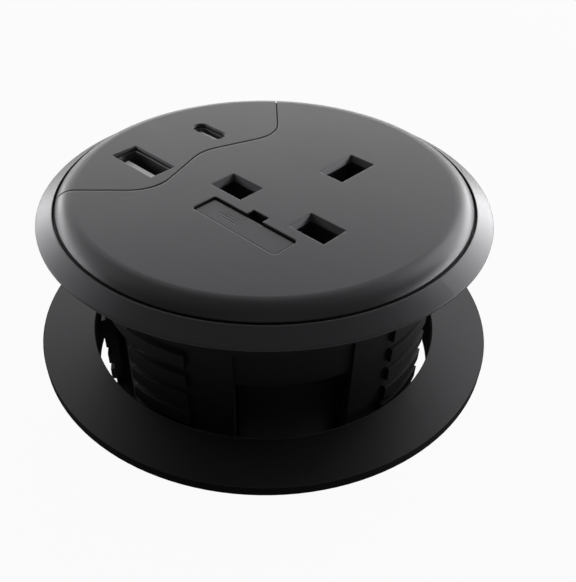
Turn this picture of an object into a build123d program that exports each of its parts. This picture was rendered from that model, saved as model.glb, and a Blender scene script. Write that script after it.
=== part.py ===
from build123d import *
import math
import os

# In-desk power module for an 80 mm desk hole: mains socket, fuse drawer and charger ports.
# Millimetres. +Z is up, the origin is on the axis of the body at the desk top's surface,
# +X runs from the live to the neutral aperture and +Y towards the earth aperture.

# Desk hole and flange
DESK_HOLE_D = 80.0
HOLE_PLAY = 0.8
COLLAR_H = 9.0
FLANGE_W = 3.7
RIM_H = 0.4
LEDGE_T = 1.0

# Face plate
FACE_Z = 4.7
FACE_T = 2.5
FACE_LAP = 4.3
FACE_SHOULDER_W = 4.2
FACE_EDGE_DROP = 2.1
GROOVE_W = 0.6
BEZEL_LIP_DROP = 2.2
SHELF_T = 1.2
SHELF_LAP = 2.6

# Drum with its interrupted thread
DRUM_BOTTOM_Z = -50.5
COLLAR_STEP = 1.3
THREAD_DEPTH = 1.0
DRUM_WALL = 2.0
PITCH = 5.4
RIDGE_CREST_H = 3.2
FLANK_FLARE = 0.17
RIDGE_SINK = 0.6
GROOVE_START_Z = -16.0
RIDGE_TURNS = 7
RIDGE_ANGLE = 22.0
FRONT_ANGLE = -36.0
WINDOW_COUNT = 5
WINDOW_ANGLE = 36.0
WINDOW_TOP_Z = -19.3
PANEL_DEPTH = 0.8
PANEL_TOP_Z = -11.0
POCKET_DEPTH = 4.0
POCKET_WALL = 1.6

# Clamp plate and nut, at the photographed height
CLAMP_GAP = 30.8
PLATE_T = 2.1
PLATE_PLAY = 1.3
PLATE_W = 11.9
NUT_BORE_STEP = 0.3
NUT_H = 9.0
NUT_WALL = 2.4
NUT_FLANGE_W = 5.4
NUT_FLANGE_T = 1.6
GRIP_COUNT = 12
GRIP_REACH = 1.8
GRIP_W = 5.0
BLADE_COUNT = 3
BLADE_ANGLE = 32.0
BLADE_PLAY = 0.3
BLADE_TIP_T = 1.1
BLADE_ROOT_T = 1.5
BLADE_TURN_COUNT = 4

# Socket: places of the three apertures
SOCKET_X = 9.2
SOCKET_Y = 5.0
PIN_PITCH_X = 22.2
PIN_PITCH_Y = 22.2
LINE_GUIDE = (7.2, 4.8)
EARTH_GUIDE = (4.8, 9.2)
LINE_PIN = (6.35, 4.0, 17.7)
EARTH_PIN = (4.0, 8.0, 22.7)
HOLE_FLARE = 0.85
HOLE_FLARE_DEPTH = 1.2

# Moulded socket block under the face
DECK_T = 3.1
DECK_PLAY = 0.8
BLOCK_PLAY = 0.6
BLOCK_WEST_X = -7.5
BLOCK_EAST_X = 26.0
BLOCK_SOUTH_Y = -20.3
BLOCK_NORTH_Y = 11.0
BLOCK_H = 13.2
CHAMBER_WALL = 1.2
CHAMBER_FLOOR_T = 1.5
FIT = 0.3

# Shutter, its return spring
SHUTTER_T = 1.5
SHUTTER_PLAY = 0.2
SHUTTER_TRAVEL = 5.6
SHUTTER_BAR_LAP = 0.9
SHUTTER_ARM_W = 7.6
SHUTTER_WINDOW_W = 5.2
SHUTTER_END_T = 1.2
RAMP_H = 5.6
SPRING_X = 18.6
SPRING_LENGTH = 11.0
SPRING_R = 1.3
SPRING_WIRE_R = 0.2
SPRING_TURNS = 5

# Fuse drawer
FUSE_X = 9.27
FUSE_Y = -15.1
DRAWER_END = 0.15
DRAWER_W = 5.7
DRAWER_CAP_T = 2.3
DRAWER_SINK = 0.4
DRAWER_BREAK = 0.2
DRAWER_CORNER_R = 0.5
DRAWER_LEG_T = 0.85
DRAWER_LEG_W = 4.4
DRAWER_LEG_TURN = 2.2
CRADLE_T = 1.5
CRADLE_REACH = 1.0
NOTCH_W = 4.3
NOTCH_D = 2.2
FUSE_L = 20.0
FUSE_PLAY = 0.3
FUSE_R = 2.6
FUSE_GLASS_R = 2.4
FUSE_CAP_L = 5.0
FUSE_CAP_WALL = 0.15
FUSE_Z = -1.2
CLIP_T = 0.6
CLIP_W = 3.6
TROUGH_W = 8.2

# Contacts
LEAF_T = 0.8
LEAF_BITE = 0.1
CONTACT_ROOM = 0.5
TAIL_W = 2.4
TAIL_L = 3.4

# Charger insert and its seam
SEAM_Y = -1.0
SEAM_BULGE = (-12.3, 18.2)
SEAM_WAIST_X = -18.7
SEAM_BULGE_R = 8.6
SEAM_WAIST_R = 10.4
SEAM_GAP = 0.5
USB_A_X = -24.4
USB_A_Y = -13.2
USB_A_MOUTH = (12.5, 5.12)
USB_A_WALL = 0.3
USB_A_TONGUE = (11.1, 1.84)
USB_A_TONGUE_SHIFT = -1.0
USB_A_TONGUE_DROP = 2.0
USB_A_STRIP = (1.0, 0.2)
USB_A_STRIP_PITCH = 2.5
USB_C_X = -25.2
USB_C_Y = 6.9
USB_C_MOUTH = (8.34, 2.56)
USB_C_WALL = 0.3
USB_C_TONGUE = (6.7, 0.7)
USB_C_TONGUE_DROP = 0.9
USB_C_STRIP = (0.3, 0.1)
USB_C_STRIP_PITCH = 0.75
PORT_PLAY = 0.15
PORT_ROUND = 0.1
PORT_DROP = 0.8
PORT_BREAK = 0.3
PORT_L = 12.9
SHELF_PLAY = 0.4

# Boards and charger parts
BOARD_T = 1.6
PORT_BOARD = (-32.0, -13.5, -18.5, 12.0)
PORT_BOARD_PLAY = 2.0
CHARGER_BOARD = (-30.0, -11.0, -24.0, 24.0)
CHARGER_BOARD_PLAY = 1.6
CHARGER_BOARD_Z = -24.0
SPACER_R = 1.8
SPACERS = ((-15.5, -16.0), (-15.5, 9.5), (-28.0, -3.5))
POSTS = ((-12.9, 19.0), (-21.8, -17.0), (-27.4, 1.2))
TRANSFORMER_X = -20.5
TRANSFORMER_Y = -7.0
TRANSFORMER_CORE = (15.0, 11.0, 13.0)
CORE_LIMB = 3.2
WINDING_SWELL = 2.2
CAPACITORS = ((-24.5, 7.5), (-15.5, 8.0))
CAPACITOR_R = 4.0
CAPACITOR_L = 14.0
CAPACITOR_EDGE_R = 0.6
FILM_CAPACITOR = (10.5, 5.0, 9.5)
FILM_CAPACITOR_X = -15.9
FILM_CAPACITOR_Y = 14.4
CHOKE_X = -14.8
CHOKE_Y = -17.6
CHOKE_R = 4.6
CHOKE_TUBE_R = 1.5
CHIPS = ((-21.0, -10.0), (-21.0, -2.0), (-21.0, 5.0))
CHIP = (5.0, 4.0, 1.5)
BARRIER_X = -9.1
BARRIER_T = 1.0
BARRIER_PLAY = 0.8
BARRIER_TOP_Z = 0.7

# Base cover, screws and bosses
COVER_T = 2.5
SPIGOT_H = 1.5
SPIGOT_PLAY = 0.2
BOSS_R = 3.0
BOSS_L = 14.0
BOSS_INSET = 4.9
BOSS_ANGLES = (-72.0, 0.0, 144.0, -134.0)
SCREW_R = 1.4
SCREW_PLAY = 0.05
SCREW_HEAD_R = 2.7
SCREW_HEAD_H = 1.5
SCREW_BITE = 8.0
SCREW_SLOT_W = 0.7
BLOCK_SCREWS = ((-4.6, 7.5), (23.0, 7.5))
BLOCK_SCREW_BITE = 1.5

# Mains inlet
INLET_X = 9.5
INLET_Y = 1.0
INLET_L = 29.0
INLET_W = 15.0
INLET_WALL = 1.5
INLET_H = 15.3
INLET_DEPTH = 12.8
INLET_LIP = 1.0
INLET_LIP_T = 1.5
INLET_CORNER_R = 3.0
INLET_PIN_R = 1.25
INLET_PIN_PITCH = 8.0
INLET_PIN_L = 8.0
INLET_TAIL_L = 2.0
WIRE_R = 1.0
WIRE_SIDES = 8
WIRE_BEND_R = 3.0

# Heights and radii that follow from the sizes above
COLLAR_R = DESK_HOLE_D / 2 - HOLE_PLAY
ROOT_R = COLLAR_R - COLLAR_STEP
CREST_R = ROOT_R + THREAD_DEPTH
INNER_R = ROOT_R - DRUM_WALL
POCKET_R = ROOT_R - POCKET_DEPTH
LINING_R = POCKET_R - POCKET_WALL
FACE_R = COLLAR_R + FACE_LAP
FACE_FLAT_R = FACE_R - FACE_SHOULDER_W
BEZEL_R = FACE_R + GROOVE_W
FLANGE_R = BEZEL_R + FLANGE_W
BEZEL_LIP_Z = FACE_Z - BEZEL_LIP_DROP
FACE_UNDER_Z = FACE_Z - FACE_T
FLANGE_EDGE_R = BEZEL_R - FIT
LINE_Y = SOCKET_Y - PIN_PITCH_Y / 2
EARTH_Y = SOCKET_Y + PIN_PITCH_Y / 2
LIVE_X = SOCKET_X - PIN_PITCH_X / 2
NEUTRAL_X = SOCKET_X + PIN_PITCH_X / 2
DECK_R = INNER_R - DECK_PLAY
BLOCK_R = LINING_R - BLOCK_PLAY
DECK_Z = FACE_UNDER_Z - DECK_T
SHUTTER_TOP_Z = DECK_Z - SHUTTER_PLAY
SHUTTER_Z = SHUTTER_TOP_Z - SHUTTER_T
BLOCK_TOP_Z = SHUTTER_Z - SHUTTER_PLAY
BLOCK_Z = BLOCK_TOP_Z - BLOCK_H
COVER_Z = DRUM_BOTTOM_Z - COVER_T
RAMP_Z = SHUTTER_TOP_Z - RAMP_H
BAR_SOUTH_Y = LINE_Y - LINE_GUIDE[1] / 2 - SHUTTER_BAR_LAP
BAR_NORTH_Y = LINE_Y + LINE_GUIDE[1] / 2 + SHUTTER_BAR_LAP
BAR_HALF_X = PIN_PITCH_X / 2 + LINE_GUIDE[0] / 2 + SHUTTER_BAR_LAP
EARTH_GUIDE_NORTH_Y = EARTH_Y + EARTH_GUIDE[1] / 2
EARTH_GUIDE_SOUTH_Y = EARTH_Y - EARTH_GUIDE[1] / 2
ARM_NORTH_Y = EARTH_GUIDE_NORTH_Y + SHUTTER_END_T
ARM_REACH_Y = ARM_NORTH_Y + SHUTTER_TRAVEL + FIT
ARM_ROOM_W = SHUTTER_ARM_W + 2 * FIT
TONGUE_W = ARM_ROOM_W + 2 * CHAMBER_WALL
BLOCK_END_Y = ARM_REACH_Y + FIT
FACE_BLOCK_END_Y = BLOCK_END_Y + CHAMBER_WALL
EARTH_WEB_Z = FACE_Z - EARTH_PIN[2] - LEAF_T - CONTACT_ROOM
LINE_WEB_Z = FACE_Z - LINE_PIN[2] - LEAF_T - CONTACT_ROOM
EARTH_FOOT_Z = EARTH_WEB_Z - CHAMBER_FLOOR_T
CLIP_Z = FUSE_Z - FUSE_R - FIT - CLIP_T
CLIP_X = FUSE_L / 2 - FUSE_CAP_L / 2
DRAWER_L = FUSE_L + FUSE_PLAY + 2 * (DRAWER_LEG_T + DRAWER_END)
PORT_TOP_Z = FACE_Z - PORT_DROP
PORT_BOARD_Z = PORT_TOP_Z - PORT_L
PORT_BOARD_R = INNER_R - PORT_BOARD_PLAY
CHARGER_BOARD_R = LINING_R - CHARGER_BOARD_PLAY
BARRIER_R = LINING_R - BARRIER_PLAY
CLAMP_TOP_Z = -CLAMP_GAP
PLATE_Z = CLAMP_TOP_Z - PLATE_T
PLATE_HOLE_R = COLLAR_R + PLATE_PLAY
PLATE_R = PLATE_HOLE_R + PLATE_W
NUT_BORE_R = PLATE_HOLE_R + NUT_BORE_STEP
NUT_FLANGE_R = NUT_BORE_R + NUT_FLANGE_W
NUT_TOP_Z = PLATE_Z - FIT
NUT_Z = NUT_TOP_Z - NUT_H
WINDOW_STEP = 360.0 / WINDOW_COUNT
BOSS_RADIUS = INNER_R - BOSS_INSET
BOSS_Z = FACE_UNDER_Z - BOSS_L
BOSS_TOP_Z = BOSS_Z + SCREW_BITE
INLET_TOP_Z = COVER_Z + INLET_H
WIRE_START_Z = INLET_TOP_Z + INLET_TAIL_L


def block(x0, x1, y0, y1, z0, z1):
    """A box between two corners."""
    centre = Location(((x0 + x1) / 2, (y0 + y1) / 2, (z0 + z1) / 2))
    return centre * Box(abs(x1 - x0), abs(y1 - y0), abs(z1 - z0))


def centred(x, y, size, z0, z1):
    """A box with its plan size centred on a point."""
    return block(x - size[0] / 2, x + size[0] / 2, y - size[1] / 2, y + size[1] / 2, z0, z1)


def disc(radius, z0, z1, x=0.0, y=0.0):
    """An upright cylinder between two heights."""
    return Location((x, y, (z0 + z1) / 2)) * Cylinder(radius, abs(z1 - z0))


def lying(radius, x0, x1, y, z):
    """A cylinder along X."""
    centre = Location(((x0 + x1) / 2, y, z), (0, 90, 0))
    return centre * Cylinder(radius, abs(x1 - x0))


def raised(outline, z0, z1):
    """A plan outline made solid between two heights."""
    return extrude(Location((0, 0, z0)) * outline, amount=z1 - z0)


def polar(radius, angle):
    """Plan coordinates of a point at an angle in degrees."""
    turn = math.radians(angle)
    return radius * math.cos(turn), radius * math.sin(turn)


def sector(radius, middle, span):
    """A pie-shaped plan outline, reaching past the radius, around a middle angle."""
    reach = radius / math.cos(math.radians(span / 2))
    corners = [(0, 0), polar(reach, middle - span / 2)]
    corners += [polar(reach * 1.1, middle), polar(reach, middle + span / 2)]
    return make_face(Polyline(*corners, close=True))


def window_angles():
    """Middle angle of each window round the drum, from the front one."""
    return [FRONT_ANGLE + WINDOW_STEP * i for i in range(WINDOW_COUNT)]


def face_profile():
    """Half section of the face: flat top, rounded shoulder, thin edge."""
    width = FACE_R - FACE_FLAT_R
    shoulder_r = (width ** 2 + FACE_EDGE_DROP ** 2) / (2 * FACE_EDGE_DROP)
    half_turn = math.asin(width / shoulder_r) / 2
    middle = (FACE_FLAT_R + shoulder_r * math.sin(half_turn), FACE_Z - shoulder_r * (1 - math.cos(half_turn)))
    edge_z = FACE_Z - FACE_EDGE_DROP
    outline = Line((0, FACE_UNDER_Z), (0, FACE_Z))
    outline += Line((0, FACE_Z), (FACE_FLAT_R, FACE_Z))
    outline += ThreePointArc((FACE_FLAT_R, FACE_Z), middle, (FACE_R, edge_z))
    outline += Line((FACE_R, edge_z), (FACE_R, FACE_UNDER_Z))
    outline += Line((FACE_R, FACE_UNDER_Z), (0, FACE_UNDER_Z))
    return make_face(outline)


def face_blank():
    """The whole domed disc that the face plate and the charger insert share."""
    return revolve(Plane.XZ * face_profile(), axis=Axis.Z)


def seam_outline(shift=0.0):
    """Plan area on the charger side of the waved seam, moved along X by the shift."""
    bulge_x, bulge_y = SEAM_BULGE
    far = FLANGE_R
    south = (bulge_x - far, SEAM_Y - bulge_y - far)
    north = (bulge_x - far, SEAM_Y + bulge_y + far)
    low = (bulge_x, SEAM_Y - bulge_y)
    high = (bulge_x, SEAM_Y + bulge_y)
    waist = (SEAM_WAIST_X, SEAM_Y)
    seam = FilletPolyline(south, low, waist, high, north, radius=[SEAM_BULGE_R, SEAM_WAIST_R, SEAM_BULGE_R])
    closing = Line(north, south)
    return Location((shift, 0, 0)) * make_face(seam + closing)


def rounded(x, y, size, corner_r):
    """A rounded rectangle in plan."""
    return Location((x, y, 0)) * RectangleRounded(size[0], size[1], corner_r)


def aperture_cuts():
    """The three pin apertures, flared at the top so that a pin finds its way in."""
    places = [(LIVE_X, LINE_Y, LINE_GUIDE), (NEUTRAL_X, LINE_Y, LINE_GUIDE), (SOCKET_X, EARTH_Y, EARTH_GUIDE)]
    cuts = []
    for x, y, size in places:
        cuts.append(centred(x, y, size, FACE_UNDER_Z, FACE_Z))
        wide = Rectangle(size[0] + 2 * HOLE_FLARE, size[1] + 2 * HOLE_FLARE)
        narrow = Location((0, 0, -HOLE_FLARE_DEPTH)) * Rectangle(*size)
        cuts.append(Location((x, y, FACE_Z)) * loft([narrow, wide]))
    return cuts


def drawer_slot():
    """The slot for the fuse drawer with the notch for a screwdriver's blade."""
    size = (DRAWER_L + 2 * FIT, DRAWER_W + 2 * FIT)
    slot = raised(rounded(FUSE_X, FUSE_Y, size, DRAWER_CORNER_R + FIT), FACE_UNDER_Z, FACE_Z)
    edge = FUSE_Y + DRAWER_W / 2
    notch = block(FUSE_X - NOTCH_W / 2, FUSE_X + NOTCH_W / 2, edge, edge + NOTCH_D, FACE_UNDER_Z, FACE_Z)
    return slot + notch


def port_outlines(play):
    """Plan outlines of the windows for the two charger ports."""
    a_size = [side + 2 * (USB_A_WALL + play) for side in USB_A_MOUTH]
    c_size = [side + 2 * (USB_C_WALL + play) for side in USB_C_MOUTH]
    a_outline = Location((USB_A_X, USB_A_Y, 0)) * Rectangle(*a_size)
    return [a_outline, rounded(USB_C_X, USB_C_Y, c_size, c_size[1] / 2 - PORT_ROUND)]


def port_windows(play, z0, z1):
    """Windows for the two charger ports."""
    return [raised(outline, z0, z1) for outline in port_outlines(play)]


def boss_places():
    """Plan places of the face's screw bosses."""
    return [polar(BOSS_RADIUS, angle) for angle in BOSS_ANGLES]


def face_plate():
    """Domed face with apertures, drawer slot, a shelf under the insert and screw bosses."""
    shelf = disc(INNER_R - FIT, FACE_UNDER_Z - SHELF_T, FACE_UNDER_Z)
    shelf &= raised(seam_outline(SHELF_LAP), FACE_UNDER_Z - SHELF_T, FACE_UNDER_Z)
    for window in port_windows(SHELF_PLAY, FACE_UNDER_Z - SHELF_T, FACE_UNDER_Z):
        shelf -= window
    plate = face_blank() - raised(seam_outline(), FACE_UNDER_Z, FACE_Z)
    plate = plate.fuse(shelf)
    for x, y in boss_places():
        plate += disc(BOSS_R, BOSS_Z, FACE_UNDER_Z, x, y)
        plate -= disc(SCREW_R + SCREW_PLAY, BOSS_Z, BOSS_TOP_Z + FIT, x, y)
    for x, y in BLOCK_SCREWS:
        plate -= disc(SCREW_R + SCREW_PLAY, FACE_UNDER_Z, FACE_UNDER_Z + BLOCK_SCREW_BITE, x, y)
    for cut in aperture_cuts():
        plate -= cut
    return plate - drawer_slot()


def usb_insert():
    """Charger side of the face, a separate moulding along the waved seam."""
    insert = face_blank() & raised(seam_outline(-SEAM_GAP), FACE_UNDER_Z, FACE_Z)
    for window in port_windows(PORT_PLAY, FACE_UNDER_Z, FACE_Z):
        insert -= window
    sunk = Location((0, 0, -PORT_BREAK))
    for wide, narrow in zip(port_outlines(PORT_PLAY + PORT_BREAK), port_outlines(PORT_PLAY)):
        insert -= Location((0, 0, FACE_Z)) * loft([sunk * narrow, wide])
    return insert


def bezel_ring():
    """Sloped flange that covers the hole's edge and lies on the desk."""
    outline = Polyline(
        (COLLAR_R + FIT, 0),
        (FLANGE_R, 0),
        (FLANGE_R, RIM_H),
        (BEZEL_R, BEZEL_LIP_Z),
        (BEZEL_R, LEDGE_T),
        (COLLAR_R + FIT, LEDGE_T),
        close=True,
    )
    return revolve(Plane.XZ * make_face(outline), axis=Axis.Z)


def drum_section():
    """Half section of the drum wall with its collar and top flange."""
    outline = Polyline(
        (INNER_R, DRUM_BOTTOM_Z),
        (ROOT_R, DRUM_BOTTOM_Z),
        (ROOT_R, -COLLAR_H - (COLLAR_R - ROOT_R)),
        (COLLAR_R, -COLLAR_H),
        (COLLAR_R, LEDGE_T),
        (FLANGE_EDGE_R, LEDGE_T),
        (FLANGE_EDGE_R, FACE_UNDER_Z),
        (INNER_R, FACE_UNDER_Z),
        close=True,
    )
    return make_face(outline)


def helical_ridge(start, span, middle_z, section):
    """One stretch of ridge that climbs with the thread, from a start angle over a span."""
    path = Helix(pitch=PITCH, height=PITCH * span / 360, radius=ROOT_R)
    swept = sweep(make_face(Plane.XZ * section), path=path, is_frenet=True)
    lift = middle_z + PITCH * start / 360
    return Location((0, 0, lift), (0, 0, start)) * swept


def ridge_patches():
    """Start angle and span of each patch of thread, mirrored about the front window."""
    inner_end = WINDOW_STEP - WINDOW_ANGLE / 2
    outer_start = WINDOW_STEP + WINDOW_ANGLE / 2
    patches = []
    patches.append((FRONT_ANGLE + inner_end - RIDGE_ANGLE, RIDGE_ANGLE))
    patches.append((FRONT_ANGLE + outer_start, RIDGE_ANGLE))
    patches.append((FRONT_ANGLE - inner_end, RIDGE_ANGLE))
    patches.append((FRONT_ANGLE - outer_start - RIDGE_ANGLE, RIDGE_ANGLE))
    patches.append((FRONT_ANGLE + 180 - RIDGE_ANGLE / 2, RIDGE_ANGLE))
    return patches


def thread_ridges():
    """Every stretch of ridge of the interrupted thread."""
    half = RIDGE_CREST_H / 2
    sink = ROOT_R - RIDGE_SINK
    foot = half + FLANK_FLARE * (CREST_R - sink) / THREAD_DEPTH
    section = Polyline((sink, -foot), (CREST_R, -half), (CREST_R, half), (sink, foot), close=True)
    ridges = []
    for start, span in ridge_patches():
        for turn in range(RIDGE_TURNS):
            middle_z = GROOVE_START_Z + PITCH / 2 - PITCH * turn
            ridges.append(helical_ridge(start, span, middle_z, section))
    return ridges


def window_ring(radius, z0, z1, outer_r):
    """The space outside a radius within every window's span."""
    ring = disc(outer_r, z0, z1) - disc(radius, z0, z1)
    wedges = [raised(sector(outer_r, angle, WINDOW_ANGLE), z0, z1) for angle in window_angles()]
    return ring & Compound(children=wedges)


def body_shell():
    """Drum that drops through the desk, with sunk windows between patches of thread."""
    drum = revolve(Plane.XZ * drum_section(), axis=Axis.Z)
    drum += window_ring(LINING_R, DRUM_BOTTOM_Z, WINDOW_TOP_Z + POCKET_WALL, INNER_R)
    drum -= window_ring(POCKET_R, DRUM_BOTTOM_Z, WINDOW_TOP_Z, COLLAR_R)
    drum -= window_ring(ROOT_R - PANEL_DEPTH, WINDOW_TOP_Z, PANEL_TOP_Z, COLLAR_R)
    drum = drum.fuse(*thread_ridges())
    return drum - disc(COLLAR_R, COVER_Z, DRUM_BOTTOM_Z)


def base_cover():
    """Cover that closes the drum, with screw holes and the inlet's cut-out."""
    spigot_r = LINING_R - SPIGOT_PLAY
    spigot = disc(spigot_r, DRUM_BOTTOM_Z, DRUM_BOTTOM_Z + SPIGOT_H)
    spigot -= disc(spigot_r - DRUM_WALL, DRUM_BOTTOM_Z, DRUM_BOTTOM_Z + SPIGOT_H)
    for x, y in boss_places():
        spigot -= disc(SCREW_R + FIT, DRUM_BOTTOM_Z, DRUM_BOTTOM_Z + SPIGOT_H, x, y)
    barrier_room = BARRIER_T + 2 * FIT
    spigot -= centred(BARRIER_X, 0, (barrier_room, 2 * ROOT_R), DRUM_BOTTOM_Z, DRUM_BOTTOM_Z + SPIGOT_H)
    cover = disc(ROOT_R, COVER_Z, DRUM_BOTTOM_Z) + spigot
    for x, y in boss_places():
        cover -= disc(SCREW_R + FIT, COVER_Z, DRUM_BOTTOM_Z, x, y)
        cover -= disc(SCREW_HEAD_R + FIT, COVER_Z, COVER_Z + SCREW_HEAD_H + SCREW_PLAY, x, y)
    size = (INLET_L + 2 * SPIGOT_PLAY, INLET_W + 2 * SPIGOT_PLAY)
    return cover - raised(rounded(INLET_X, INLET_Y, size, INLET_CORNER_R), COVER_Z, DRUM_BOTTOM_Z)


def screw(x, y, seat_z, length):
    """A pan head screw that points up, its head's top on the seat."""
    head = disc(SCREW_HEAD_R, seat_z - SCREW_HEAD_H, seat_z, x, y)
    slot = centred(x, y, (2 * SCREW_HEAD_R, SCREW_SLOT_W), seat_z - SCREW_HEAD_H, seat_z - SCREW_HEAD_H / 2)
    return head + disc(SCREW_R, seat_z, seat_z + length, x, y) - slot


def base_screws():
    """Long screws through the cover and the drum into the face's bosses."""
    seat_z = COVER_Z + SCREW_HEAD_H + SCREW_PLAY
    return Compound(children=[screw(x, y, seat_z, BOSS_TOP_Z - seat_z) for x, y in boss_places()])


def block_screws():
    """Screws through the socket block into the face."""
    length = FACE_UNDER_Z + BLOCK_SCREW_BITE - SCREW_PLAY - BLOCK_Z
    return Compound(children=[screw(x, y, BLOCK_Z, length) for x, y in BLOCK_SCREWS])


def deck_outline():
    """Plan of the upper half of the socket block."""
    main = Location(((BLOCK_WEST_X + BLOCK_EAST_X) / 2, (BLOCK_SOUTH_Y + BLOCK_NORTH_Y) / 2, 0))
    main *= Rectangle(BLOCK_EAST_X - BLOCK_WEST_X, BLOCK_NORTH_Y - BLOCK_SOUTH_Y)
    end_y = FACE_BLOCK_END_Y
    nose = Location((SOCKET_X, end_y / 2, 0)) * Rectangle(TONGUE_W, end_y)
    return (main + nose) & Circle(DECK_R)


def trough_cut(z0, z1, width):
    """Room for the fuse and the drawer's legs."""
    return centred(FUSE_X, FUSE_Y, (DRAWER_L + 2 * FIT, width), z0, z1)


def spring_bore():
    """Round channel in which the return spring lies, along Y."""
    start_y = BAR_NORTH_Y
    end_y = start_y + SPRING_LENGTH
    middle_z = (SHUTTER_TOP_Z + SHUTTER_Z) / 2
    centre = Location((SPRING_X, (start_y + end_y) / 2, middle_z), (90, 0, 0))
    return centre * Cylinder(SPRING_R + SPRING_WIRE_R + FIT, end_y - start_y)


def socket_deck():
    """Upper half of the socket block: pin guides and the shutter's ceiling."""
    deck = raised(deck_outline(), DECK_Z, FACE_UNDER_Z)
    deck -= centred(LIVE_X, LINE_Y, LINE_GUIDE, DECK_Z, FACE_UNDER_Z)
    deck -= centred(NEUTRAL_X, LINE_Y, LINE_GUIDE, DECK_Z, FACE_UNDER_Z)
    deck -= centred(SOCKET_X, EARTH_Y, EARTH_GUIDE, DECK_Z, FACE_UNDER_Z)
    deck -= trough_cut(DECK_Z, FACE_UNDER_Z, DRAWER_W + 2 * FIT)
    for x, y in BLOCK_SCREWS:
        deck -= disc(SCREW_R + FIT, DECK_Z, FACE_UNDER_Z, x, y)
    return deck - spring_bore()


def shutter_room(z0, z1):
    """The space the shutter sweeps, with clearance."""
    bar = block(
        SOCKET_X - BAR_HALF_X - FIT,
        SOCKET_X + BAR_HALF_X + FIT,
        BAR_SOUTH_Y - FIT,
        BAR_NORTH_Y + SHUTTER_TRAVEL + FIT,
        z0,
        z1,
    )
    half_arm = ARM_ROOM_W / 2
    arm = block(SOCKET_X - half_arm, SOCKET_X + half_arm, BAR_NORTH_Y, ARM_REACH_Y, z0, z1)
    return bar + arm


def socket_block():
    """Lower half of the socket block: shutter tray, contact chambers, fuse trough."""
    body = block(BLOCK_WEST_X, BLOCK_EAST_X, BLOCK_SOUTH_Y, BLOCK_NORTH_Y, BLOCK_Z, DECK_Z)
    half_nose = TONGUE_W / 2
    nose = block(SOCKET_X - half_nose, SOCKET_X + half_nose, 0, BLOCK_END_Y, EARTH_FOOT_Z, DECK_Z)
    body = (body + nose) & disc(BLOCK_R, EARTH_FOOT_Z, DECK_Z)
    body -= shutter_room(BLOCK_TOP_Z, DECK_Z)
    ramp_room_w = SHUTTER_WINDOW_W + 2 * FIT
    ramp_y = (EARTH_GUIDE_SOUTH_Y + ARM_REACH_Y) / 2
    body -= centred(SOCKET_X, ramp_y, (ramp_room_w, ARM_REACH_Y - EARTH_GUIDE_SOUTH_Y), RAMP_Z - FIT, DECK_Z)
    line_room = (LINE_PIN[0] + CONTACT_ROOM, LINE_PIN[1] + 2 * (LEAF_T + CONTACT_ROOM))
    for x in (LIVE_X, NEUTRAL_X):
        body -= centred(x, LINE_Y, line_room, LINE_WEB_Z, BLOCK_TOP_Z)
        body -= centred(x, LINE_Y, (TAIL_W + FIT, LEAF_T + FIT), BLOCK_Z, LINE_WEB_Z)
    earth_room = (EARTH_PIN[0] + 2 * (LEAF_T + CONTACT_ROOM), EARTH_PIN[1] + CONTACT_ROOM)
    body -= centred(SOCKET_X, EARTH_Y, earth_room, EARTH_WEB_Z, RAMP_Z)
    body -= centred(SOCKET_X, EARTH_Y, (LEAF_T + FIT, TAIL_W + FIT), EARTH_FOOT_Z, EARTH_WEB_Z)
    body -= trough_cut(CLIP_Z, DECK_Z, TROUGH_W)
    for side in (-1, 1):
        x = FUSE_X + side * CLIP_X
        body -= centred(x, FUSE_Y, (TAIL_W + FIT, CLIP_T + FIT), BLOCK_Z, CLIP_Z)
    for x, y in BLOCK_SCREWS:
        body -= disc(SCREW_R + FIT, BLOCK_Z, DECK_Z, x, y)
    return body - spring_bore()


def pin_contact(x, y, pin, web_z, top_z, along_x):
    """Two leaves that grip a pin, joined by a web with a tail for the wire."""
    gap = (pin[1] if along_x else pin[0]) - LEAF_BITE
    length = pin[0] if along_x else pin[1]
    outer = gap + 2 * LEAF_T
    whole = (length, outer) if along_x else (outer, length)
    inside = (length, gap) if along_x else (gap, length)
    tail = (TAIL_W, LEAF_T) if along_x else (LEAF_T, TAIL_W)
    clip = centred(x, y, whole, web_z, top_z) - centred(x, y, inside, web_z + LEAF_T, top_z)
    return clip + centred(x, y, tail, web_z - TAIL_L, web_z)


def line_contact(x):
    """Contact behind a live or neutral aperture."""
    return pin_contact(x, LINE_Y, LINE_PIN, LINE_WEB_Z, BLOCK_TOP_Z - FIT, True)


def earth_contact():
    """Contact behind the earth aperture, below the shutter's ramp."""
    return pin_contact(SOCKET_X, EARTH_Y, EARTH_PIN, EARTH_WEB_Z, RAMP_Z - 2 * FIT, False)


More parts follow.
